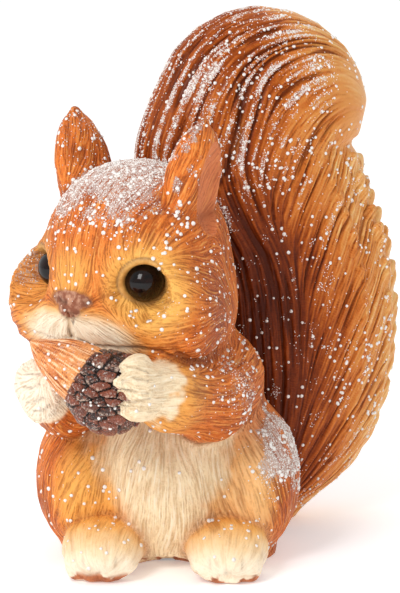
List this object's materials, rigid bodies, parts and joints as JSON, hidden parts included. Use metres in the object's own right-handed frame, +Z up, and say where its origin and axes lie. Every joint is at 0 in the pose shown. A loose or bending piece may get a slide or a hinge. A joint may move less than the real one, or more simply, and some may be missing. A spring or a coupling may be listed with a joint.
{
  "type": "squirrel figurine",
  "caption": "Seated squirrel figurine holding an acorn, hollow cast resin body with a lit translucent tail and a battery compartment in the base.",
  "frame": {"origin": "on the surface the figurine stands on, under the middle of its overall footprint", "axes": "+Z up, -Y to the front where the feet and belly face, +X to the squirrel's left, on the side of the tail"},
  "size_m": [0.1322, 0.154, 0.1818],
  "materials": {
    "body_resin": "satin",
    "tail_resin": "gloss",
    "eyes": "gloss",
    "acorn_nut": "satin",
    "acorn_cup": "satin",
    "black_plastic": "matte",
    "circuit_board": "satin",
    "led_lens": "gloss",
    "red_wire": "satin",
    "black_wire": "satin",
    "gasket": "matte",
    "steel": "satin",
    "cell_wrap": "gloss",
    "brass": "satin",
    "knob_plastic": "satin",
    "chip": "matte",
    "capacitor_sleeve": "gloss"
  },
  "bodies": {
    "figurine": {"body_shell": "body_resin", "tail_shell": "tail_resin", "left_eye": "eyes", "right_eye": "eyes", "acorn_nut": "acorn_nut", "acorn_cup": "acorn_cup", "tail_plug": "black_plastic", "battery_housing": "black_plastic", "led_board": "circuit_board", "control_board": "circuit_board", "leds": "led_lens", "lead_red": "red_wire", "lead_black": "black_wire", "housing_gasket": "gasket", "housing_screws": "steel", "contact_springs": "steel", "contact_plates": "steel", "switch_body": "steel", "screw_insert": "brass", "timer_chip": "chip", "capacitor": "capacitor_sleeve", "resistors": "chip"},
    "door": {"battery_door": "black_plastic", "door_gasket": "gasket"},
    "screw": {"door_screw": "steel"},
    "cell_1": {"battery_cell_1": "cell_wrap"},
    "cell_2": {"battery_cell_2": "cell_wrap"},
    "knob": {"switch_knob": "knob_plastic"}
  },
  "joints": [
    {"name": "door_lift", "type": "slide", "parent": "figurine", "child": "door", "axis": [0, 0, -1], "range_m": [0, 0.06]},
    {"name": "cell_1_lift", "type": "slide", "parent": "figurine", "child": "cell_1", "axis": [0, 0, -1], "range_m": [0, 0.03]},
    {"name": "cell_2_lift", "type": "slide", "parent": "figurine", "child": "cell_2", "axis": [0, 0, -1], "range_m": [0, 0.03]},
    {"name": "screw_turn", "type": "hinge", "parent": "door", "child": "screw", "pos_m": [-0.01287, 0.01556, 0.0038], "axis": [0, 0, -1], "continuous": true},
    {"name": "switch_slide", "type": "slide", "parent": "figurine", "child": "knob", "axis": [1, 0, 0], "range_m": [0, 0.002]}
  ],
  "couplings": [
    {"joint": "cell_1_lift", "follows": "door_lift", "ratio": 0.5},
    {"joint": "cell_2_lift", "follows": "door_lift", "ratio": 0.5}
  ]
}
